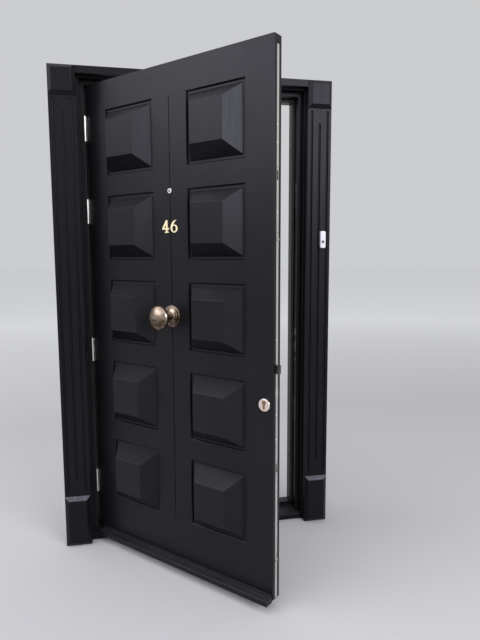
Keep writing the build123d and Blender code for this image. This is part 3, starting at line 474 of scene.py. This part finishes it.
def moulded_skin_group():
    """A moulded rubber, plastic or glass skin: fine grain, slow changes and a little grime."""
    inputs = (
        ("Vector", VECTOR, None),
        ("Skin", COLOUR, None),
        ("Grime", COLOUR, None),
        ("Grime Amount", FLOAT, 0.2),
        ("Roughness", FLOAT, 0.4),
        ("Grain", FLOAT, 900.0),
    )
    tree, given, end = new_group("moulded_skin", inputs, SURFACE_OUTPUTS)
    grain = noise(tree, given["Vector"], given["Grain"], 1.0)
    clouds = noise(tree, given["Vector"], 24.0, 3.0, 0.6)
    grimy = calculate(tree, "MULTIPLY", span(tree, clouds, 0.45, 0.75), given["Grime Amount"])
    cloudy = span(tree, clouds, 0.3, 0.7, -0.05, 0.08)
    rough = calculate(tree, "ADD", given["Roughness"], cloudy, True)
    finish_outputs(tree, end, {
        "Colour": mix_colours(tree, grimy, given["Skin"], given["Grime"]),
        "Roughness": rough,
        "Height": grain,
    })
    return tree


def shared_group(name, build):
    """A node group by name, built the first time it is asked for."""
    return bpy.data.node_groups.get(name) or build()


# Materials
def surfaced_material(name, group, values, relief, turn=0.0, **shader_values):
    """A material whose colour, roughness and relief come from one shared effect."""
    material = bpy.data.materials.new(name)
    tree = cleared_tree(material)
    place = add_node(tree, "ShaderNodeTexCoord").outputs["Object"]
    turned = add_node(tree, "ShaderNodeMapping", {"Vector": place, "Rotation": (0, 0, turn)})
    effect = add_node(tree, "ShaderNodeGroup", node_tree=group)
    tree.links.new(turned.outputs["Vector"], effect.inputs["Vector"])
    for key, value in values.items():
        effect.inputs[key].default_value = value
    marks = {"Height": effect.outputs["Height"], "Distance": relief}
    bump = add_node(tree, "ShaderNodeBump", marks)
    shader = add_node(tree, "ShaderNodeBsdfPrincipled", {
        "Base Color": effect.outputs["Colour"],
        "Roughness": effect.outputs["Roughness"],
        "Normal": bump.outputs["Normal"],
        **shader_values,
    })
    add_node(tree, "ShaderNodeOutputMaterial", {"Surface": shader.outputs["BSDF"]})
    return material


def paint_material(name, settings, sheen, dust_and_highlight, stretch, turn=0.0):
    """Brushed paint with its own sheen, dust and direction of brushing."""
    values = {
        "Stretch": stretch,
        "Paint": solid(settings.colour),
        "Dust": solid(settings.dust_and_highlight),
        "Dust Amount": dust_and_highlight,
        "Roughness": settings.roughness,
    }
    group = shared_group("paint_film", paint_film_group)
    reflection = {"Specular IOR Level": sheen, "Specular Tint": solid(settings.sheen_tint)}
    return surfaced_material(name, group, values, settings.film_depth, turn, **reflection)


def metal_material(name, colour, film, film_amount, roughness, lines, turn=0.0):
    """A worked metal with its own film, polish and marks."""
    stretch, line_depth = lines
    values = {
        "Stretch": stretch,
        "Metal": solid(colour),
        "Film": solid(film),
        "Film Amount": film_amount,
        "Roughness": roughness,
        "Line Depth": line_depth,
    }
    group = shared_group("worked_metal", worked_metal_group)
    return surfaced_material(name, group, values, METAL_RELIEF, turn, Metallic=1.0)


def paint_shade_below(material, height, blend, amount):
    """Paints shade on a metal: filmed below a height and clean above it, so its lower half is darker."""
    tree = material.node_tree
    place = add_node(tree, "ShaderNodeTexCoord").outputs["Object"]
    level = add_node(tree, "ShaderNodeSeparateXYZ", {"Vector": place}).outputs["Z"]
    tarnish_and_shade = span(tree, level, height + blend / 2, height - blend / 2, 0.0, amount)
    tree.links.new(tarnish_and_shade, node_of(tree, "GROUP").inputs["Tarnish"])


def skin_material(name, colour, grime, grime_amount, roughness, grain):
    """A moulded skin with its own grime, polish and grain."""
    values = {
        "Skin": solid(colour),
        "Grime": solid(grime),
        "Grime Amount": grime_amount,
        "Roughness": roughness,
        "Grain": grain,
    }
    group = shared_group("moulded_skin", moulded_skin_group)
    return surfaced_material(name, group, values, SKIN_RELIEF)


def dress(piece, material):
    """Puts one material on every face of a piece."""
    piece.data.materials.clear()
    piece.data.materials.append(material)


def nodes_in_slot(slot):
    """The CAD nodes that the record gives to one material slot."""
    rows = frame["record"]["subparts"]
    return [frame["nodes"][row["node"]] for row in rows if row["material_slot"] == slot]


# Small hardware
def shut_box(node):
    """The lowest and highest corner of a leaf piece, as if the leaf were shut."""
    back = SWING.inverted()
    points = [back @ vertex.co for vertex in frame["nodes"][node].data.vertices]
    low = Vector([min(point[axis] for point in points) for axis in range(3)])
    high = Vector([max(point[axis] for point in points) for axis in range(3)])
    return low, high


def sunk_loop(mesh, edges, scale, depth):
    """Carries a closed loop of edges in or out and down, and gives its new points and edges."""
    made = bmesh.ops.extrude_edge_only(mesh, edges=edges)["geom"]
    points = [item for item in made if isinstance(item, bmesh.types.BMVert)]
    bmesh.ops.scale(mesh, vec=(scale, scale, 1), verts=points)
    bmesh.ops.translate(mesh, vec=(0, 0, -depth), verts=points)
    new_edges = [item for item in made if isinstance(item, bmesh.types.BMEdge)]
    return points, [edge for edge in new_edges if all(end in points for end in edge.verts)]


def screw_head(mesh, radius, sides, place):
    """A raised countersunk head with a cross recess, its rim level with the plate it holds."""
    top, rise = 0.85 * radius, 0.12 * radius
    rim = bmesh.ops.create_circle(mesh, segments=sides, radius=top)["verts"]
    arm, half = 0.58 * radius, 0.13 * radius
    quarter = [(arm, -half), (arm, half), (half, half)]
    corners = []
    for turn in range(4):
        rotation = Matrix.Rotation(turn * tau / 4, 2)
        corners += [mesh.verts.new((*(rotation @ Vector(point)), 0)) for point in quarter]
    ends = zip(corners, (*corners[1:], corners[0]))
    cross = [mesh.edges.new(pair) for pair in ends]
    ring = list({edge for vertex in rim for edge in vertex.link_edges})
    bmesh.ops.triangle_fill(mesh, use_beauty=True, use_dissolve=False, edges=ring + cross)
    floor, floor_loop = sunk_loop(mesh, cross, 0.85, 0.9 * rise)
    collar, collar_loop = sunk_loop(mesh, ring, radius / top, rise)
    foot, foot_loop = sunk_loop(mesh, collar_loop, 0.65, 0.5 * radius)
    for loop in (floor_loop, foot_loop):
        bmesh.ops.contextual_create(mesh, geom=loop)
    made = list({*rim, *corners, *floor, *collar, *foot})
    bmesh.ops.transform(mesh, matrix=place @ Matrix.Translation((0, 0, rise)), verts=made)


def add_piece(name, mesh, body, material, place=Matrix.Identity(4)):
    """Turns a finished bmesh into a piece that rides on a body."""
    bmesh.ops.remove_doubles(mesh, verts=mesh.verts, dist=1e-6)
    bmesh.ops.recalc_face_normals(mesh, faces=mesh.faces)
    bmesh.ops.transform(mesh, matrix=place, verts=mesh.verts)
    data = bpy.data.meshes.new(name)
    mesh.to_mesh(data)
    mesh.free()
    piece = bpy.data.objects.new(name, data)
    bpy.context.scene.collection.objects.link(piece)
    dress(piece, material)
    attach(piece, body)
    return piece


def facing(point, direction):
    """A place whose local +Z looks along a direction from a point."""
    turn = Vector(direction).to_track_quat("Z", "Y").to_matrix().to_4x4()
    return Matrix.Translation(point) @ turn


class FRONTDOOR_OT_paint_timber(bpy.types.Operator):
    """Give every timber piece its brushed satin paint, with the marks along its grain"""

    bl_idname = "front_door.paint_timber"
    bl_label = "Paint the timber"

    def execute(self, context):
        settings = context.scene.front_door_paint
        on_frame = (settings, settings.frame_sheen, settings.dust_amount)
        on_leaf = (settings, settings.leaf_sheen, settings.dust_amount)
        frame_upright = paint_material("frame_paint_upright", *on_frame, ALONG_Z)
        frame_level = paint_material("frame_paint_level", *on_frame, ALONG_X)
        leaf_upright = paint_material("leaf_paint_upright", *on_leaf, ALONG_Z)
        leaf_level = paint_material("leaf_paint_level", *on_leaf, ALONG_X, OPEN_ANGLE)
        leaf_nodes = frame["record"]["behaviour"]["bodies"]["leaf"]
        for node in nodes_in_slot("painted_timber"):
            if node.name in leaf_nodes:
                dress(node, leaf_level if node.name in LEVEL_LEAF_PIECES else leaf_upright)
            else:
                dress(node, frame_level if node.name in LEVEL_FRAME_PIECES else frame_upright)
        # Painted highlight: the plinth blocks take the pale bluish colour fully on their upward bevels.
        on_plinths = (settings, settings.frame_sheen, settings.plinth_highlight)
        dust_and_highlight_cover = paint_material("plinth_paint", *on_plinths, ALONG_Z)
        for name in PLINTHS:
            dress(frame["nodes"][name], dust_and_highlight_cover)
        return {"FINISHED"}


class FRONTDOOR_OT_finish_metals(bpy.types.Operator):
    """Give the steel, nickel and brass pieces their worked and handled surfaces"""

    bl_idname = "front_door.finish_metals"
    bl_label = "Finish the metals"

    def lap_faceplate(self, context):
        """Laps the leaf's paint over both long edges of the lock faceplate."""
        metals, paint = context.scene.front_door_metals, context.scene.front_door_paint
        finish = (metals.steel, metals.dull_film, 0.25, 0.34, DRAWN)
        steel = metal_material("lapped_steel", *finish, OPEN_ANGLE)
        tree = steel.node_tree
        shader, effect = node_of(tree, "BSDF_PRINCIPLED"), node_of(tree, "GROUP")
        place = node_of(tree, "MAPPING").outputs["Vector"]
        low, high = shut_box("lock_faceplate")
        turned_hinge = Matrix.Rotation(OPEN_ANGLE, 3, "Z") @ HINGE
        middle = (low.y + high.y) / 2 - HINGE.y + turned_hinge.y
        across = add_node(tree, "ShaderNodeSeparateXYZ", {"Vector": place}).outputs["Y"]
        off_middle = calculate(tree, "ABSOLUTE", calculate(tree, "SUBTRACT", across, middle))
        waver = span(tree, noise(tree, place, 30.0), 0.3, 0.7, -LAP_WAVER, LAP_WAVER)
        off_middle = calculate(tree, "ADD", off_middle, waver)
        edge = (high.y - low.y) / 2 - paint.faceplate_lap
        painted = span(tree, off_middle, edge - LAP_SOFTNESS, edge + LAP_SOFTNESS)
        colour = mix_colours(tree, painted, effect.outputs["Colour"], solid(paint.colour))
        rough = span(tree, painted, 0.0, 1.0, effect.outputs["Roughness"], paint.roughness)
        tree.links.new(colour, shader.inputs["Base Color"])
        tree.links.new(rough, shader.inputs["Roughness"])
        tree.links.new(calculate(tree, "SUBTRACT", 1.0, painted), shader.inputs["Metallic"])
        shader.inputs["Specular IOR Level"].default_value = paint.leaf_sheen
        dress(frame["nodes"]["lock_faceplate"], steel)

    def execute(self, context):
        settings = context.scene.front_door_metals
        dull, tarnish_and_shade = settings.dull_film, settings.tarnish_and_shade
        # Each slot's material: its name, metal, film, share of film, roughness and marks
        finishes = {
            "satin_steel": ("drawn_steel", settings.steel, dull, 0.25, 0.34, DRAWN),
            "satin_nickel": ("fine_nickel", settings.nickel, dull, 0.2, 0.28, FINE),
            "aged_brass": ("turned_brass", settings.aged_brass, tarnish_and_shade, 0.55, 0.2, TURNED),
            "polished_brass": ("cast_brass", settings.bright_brass, tarnish_and_shade, 0.08, 0.5, FINE),
        }
        for slot, finish in finishes.items():
            material = metal_material(*finish)
            for node in nodes_in_slot(slot):
                dress(node, material)
        # Painted shade: the knob's lower half is darkened into its brown film.
        low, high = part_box("pull_knob")
        knob_brass, knob_middle = bpy.data.materials["turned_brass"], (low.z + high.z) / 2
        paint_shade_below(knob_brass, knob_middle, SHADE_BLEND, SHADE_AMOUNT)
        viewer = metal_material("viewer_steel", settings.steel, dull, 0.3, 0.25, FINE)
        dress(frame["nodes"]["door_viewer"], viewer)
        worn = metal_material("worn_brass", settings.worn_brass, tarnish_and_shade, 0.5, 0.3, FINE)
        for name in ("cylinder_body", "cylinder_plug"):
            dress(frame["nodes"][name], worn)
        # The latch bolt and the keeps get a steel much darker than the other steel parts.
        dark = metal_material("dark_steel", settings.dark_steel, dull, 0.3, 0.42, DRAWN)
        for name in ("latch_bolt", *KEEPS):
            dress(frame["nodes"][name], dark)
        self.lap_faceplate(context)
        return {"FINISHED"}


class FRONTDOOR_OT_finish_mouldings(bpy.types.Operator):
    """Give the rubber seal and the bell push their moulded skins"""

    bl_idname = "front_door.finish_mouldings"
    bl_label = "Finish rubber and plastic"

    def execute(self, context):
        settings = context.scene.front_door_small_parts
        # Colour, grime, share of grime, roughness and fineness of the grain
        seal_skin = (settings.rubber, settings.seal_grime, 0.3, 0.6, 700.0)
        case_skin = (settings.bell_case, settings.bell_grime, 0.18, 0.25, 1300.0)
        button_skin = (settings.bell_button, settings.bell_grime, 0.2, 0.4, 1300.0)
        skins = {
            "black_rubber": ("seal_rubber", *seal_skin),
            "white_plastic": ("bell_case_plastic", *case_skin),
            "dark_plastic": ("bell_button_plastic", *button_skin),
        }
        for slot, skin in skins.items():
            material = skin_material(*skin)
            for node in nodes_in_slot(slot):
                dress(node, material)
        return {"FINISHED"}


class FRONTDOOR_OT_ease_edges(bpy.types.Operator):
    """Round the painted edges of every timber piece that stands apart from its neighbours"""

    bl_idname = "front_door.ease_edges"
    bl_label = "Ease the edges"

    def execute(self, context):
        arris = context.scene.front_door_paint.arris
        for node in nodes_in_slot("painted_timber"):
            if node.name in FLUSH_PIECES:
                continue
            weld = node.modifiers.new("join_faces", "WELD")
            weld.merge_threshold = JOIN_GAP
            bevel = node.modifiers.new("eased_edges", "BEVEL")
            bevel.width = arris
            bevel.segments = BEVEL_STEPS
            bevel.limit_method = "ANGLE"
            bevel.angle_limit = BEVEL_ANGLE
            bevel.harden_normals = True
            bevel.use_clamp_overlap = False
            bevel.loop_slide = False
        return {"FINISHED"}


class FRONTDOOR_OT_fit_screws(bpy.types.Operator):
    """Fit the screws of the lock faceplate, the keeps and the inside backplate"""

    bl_idname = "front_door.fit_screws"
    bl_label = "Fit the screws"

    def execute(self, context):
        settings = context.scene.front_door_small_parts
        sides = settings.screw_sides
        materials = bpy.data.materials
        low, high = shut_box("lock_faceplate")
        middle = (low.y + high.y) / 2
        mesh = bmesh.new()
        for height in FACEPLATE_SCREWS:
            place = facing((high.x, middle, low.z + height), (1, 0, 0))
            screw_head(mesh, settings.faceplate_screw_radius, sides, place)
        steel = materials["drawn_steel"]
        add_piece("faceplate_screws", mesh, "leaf", steel, SWING)
        mesh = bmesh.new()
        for keep in KEEPS:
            low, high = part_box(keep)
            for height in (low.z + KEEP_SCREW_INSET, high.z - KEEP_SCREW_INSET):
                place = facing((low.x, (low.y + high.y) / 2, height), (-1, 0, 0))
                screw_head(mesh, settings.keep_screw_radius, sides, place)
        add_piece("keep_screws", mesh, "frame", materials["dark_steel"])
        low, high = shut_box("inner_backplate")
        mesh = bmesh.new()
        for height in (low.z + BACKPLATE_SCREW_INSET, high.z - BACKPLATE_SCREW_INSET):
            place = facing(((low.x + high.x) / 2, high.y, height), (0, 1, 0))
            screw_head(mesh, settings.backplate_screw_radius, sides, place)
        nickel = materials["fine_nickel"]
        add_piece("backplate_screws", mesh, "leaf", nickel, SWING)
        return {"FINISHED"}


class FRONTDOOR_OT_fit_viewer_lenses(bpy.types.Operator):
    """Fit the two domed lenses of the door viewer"""

    bl_idname = "front_door.fit_viewer_lenses"
    bl_label = "Fit the viewer's lenses"

    def execute(self, context):
        settings = context.scene.front_door_small_parts
        glass_skin = (settings.lens_glass, settings.lens_haze, 0.15, 0.06, 300.0)
        glass = skin_material("viewer_glass", *glass_skin)
        low, high = shut_box("door_viewer")
        middle = (low + high) / 2
        mesh = bmesh.new()
        for depth, direction in ((low.y, -1), (high.y, 1)):
            ball = {"u_segments": 28, "v_segments": 14, "radius": LENS_RADIUS}
            made = bmesh.ops.create_uvsphere(mesh, **ball)["verts"]
            bmesh.ops.scale(mesh, vec=(1, LENS_FLATNESS, 1), verts=made)
            seat = Vector((middle.x, depth - direction * LENS_SEAT, middle.z))
            bmesh.ops.translate(mesh, vec=seat, verts=made)
        lenses = add_piece("viewer_lenses", mesh, "leaf", glass, SWING)
        lenses.data.shade_smooth()
        return {"FINISHED"}


class FRONTDOOR_OT_set_studio(bpy.types.Operator):
    """Set the pale floor, the soft lights and the camera"""

    bl_idname = "front_door.set_studio"
    bl_label = "Set the studio"

    def add_floor(self, settings):
        """A wide round floor that pales away from the lamps until it meets the air."""
        mesh = bmesh.new()
        disc = {"segments": FLOOR_SIDES, "radius": FLOOR_RADIUS}
        bmesh.ops.create_circle(mesh, cap_ends=True, **disc)
        data = bpy.data.meshes.new("studio_floor")
        mesh.to_mesh(data)
        mesh.free()
        floor = bpy.data.objects.new("studio_floor", data)
        bpy.context.scene.collection.objects.link(floor)
        material = bpy.data.materials.new("studio_paper")
        tree = cleared_tree(material)
        place = add_node(tree, "ShaderNodeTexCoord").outputs["Object"]
        ends = {0: place, 1: LAMPS_MIDDLE}
        from_lamps = add_node(tree, "ShaderNodeVectorMath", ends, operation="DISTANCE")
        far_off = span(tree, from_lamps.outputs["Value"], PALES_FROM, PALES_TO)
        colour = mix_colours(tree, far_off, solid(settings.floor), solid(settings.far_floor))
        shader = add_node(tree, "ShaderNodeBsdfDiffuse", {"Color": colour})
        add_node(tree, "ShaderNodeOutputMaterial", {"Surface": shader.outputs["BSDF"]})
        dress(floor, material)

    def add_light(self, name, power, size, place):
        """A soft rectangular lamp aimed at the door."""
        data = bpy.data.lights.new(name, "AREA")
        data.shape = "RECTANGLE"
        data.size, data.size_y = size
        data.energy = power
        data.color = LAMP_COLOUR
        light = bpy.data.objects.new(name, data)
        light.location = place
        direction = LAMP_TARGET - Vector(place)
        light.rotation_euler = direction.to_track_quat("-Z", "Y").to_euler()
        bpy.context.scene.collection.objects.link(light)

    def add_world(self, settings):
        """Even pale air, which lights the door from all round and is its background."""
        world = bpy.data.worlds.new("studio_air")
        tree = cleared_tree(world)
        inputs = {"Color": solid(settings.air), "Strength": settings.ambient}
        air = add_node(tree, "ShaderNodeBackground", inputs)
        add_node(tree, "ShaderNodeOutputWorld", {"Surface": air.outputs["Background"]})
        bpy.context.scene.world = world

    def add_camera(self, settings):
        """A camera from its place, its yaw, pitch and roll, and its lens."""
        yaw, pitch, roll = settings.yaw, settings.pitch, settings.roll
        ahead = Vector((sin(yaw) * cos(pitch), cos(yaw) * cos(pitch), sin(pitch)))
        level_right = Vector((cos(yaw), -sin(yaw), 0))
        level_up = level_right.cross(ahead)
        right = cos(roll) * level_right + sin(roll) * level_up
        up = cos(roll) * level_up - sin(roll) * level_right
        turn = Matrix((right, up, -ahead)).transposed().to_4x4()
        data = bpy.data.cameras.new("camera")
        data.sensor_width = 36
        data.lens = settings.lens
        camera = bpy.data.objects.new("camera", data)
        camera.matrix_world = Matrix.Translation(settings.eye) @ turn
        bpy.context.scene.collection.objects.link(camera)
        bpy.context.scene.camera = camera

    def execute(self, context):
        settings = context.scene.front_door_studio
        self.add_floor(settings)
        self.add_light("sky_light", settings.sky_power, SKY_SIZE, (-2.1, -1.6, 5.0))
        self.add_light("front_light", settings.front_power, SOFTBOX_SIZE, (3.2, -6.0, 3.5))
        self.add_light("left_light", settings.left_power, SOFTBOX_SIZE, (-5.0, -2.0, 3.6))
        self.add_world(settings)
        self.add_camera(settings)
        context.scene.view_settings.view_transform = "Standard"
        return {"FINISHED"}


class VIEW3D_PT_front_door(bpy.types.Panel):
    """Sidebar panel with the door's finishes, fittings and studio"""

    bl_label = "Front door"
    bl_space_type = "VIEW_3D"
    bl_region_type = "UI"
    bl_category = "Front Door"

    def draw(self, context):
        layout = self.layout
        for settings_name in SETTINGS:
            box = layout.box()
            settings = getattr(context.scene, settings_name)
            for name in settings.bl_rna.properties.keys():
                if name not in ("rna_type", "name"):
                    box.prop(settings, name)
        for operator in OPERATORS:
            layout.operator(operator.bl_idname)


SETTINGS = {
    "front_door_paint": FrontDoorPaint,
    "front_door_metals": FrontDoorMetals,
    "front_door_small_parts": FrontDoorSmallParts,
    "front_door_studio": FrontDoorStudio,
}
OPERATORS = (
    FRONTDOOR_OT_paint_timber,
    FRONTDOOR_OT_finish_metals,
    FRONTDOOR_OT_finish_mouldings,
    FRONTDOOR_OT_ease_edges,
    FRONTDOOR_OT_fit_screws,
    FRONTDOOR_OT_fit_viewer_lenses,
    FRONTDOOR_OT_set_studio,
)
CLASSES = (*SETTINGS.values(), *OPERATORS, VIEW3D_PT_front_door)


def register():
    for item in CLASSES:
        bpy.utils.register_class(item)
    for name, group in SETTINGS.items():
        setattr(bpy.types.Scene, name, PointerProperty(type=group))


def unregister():
    for name in SETTINGS:
        delattr(bpy.types.Scene, name)
    for item in reversed(CLASSES):
        bpy.utils.unregister_class(item)


def main():
    register()
    bpy.ops.front_door.paint_timber()
    bpy.ops.front_door.finish_metals()
    bpy.ops.front_door.finish_mouldings()
    bpy.ops.front_door.ease_edges()
    bpy.ops.front_door.fit_screws()
    bpy.ops.front_door.fit_viewer_lenses()
    bpy.ops.front_door.set_studio()


if __name__ == "__main__":
    main()
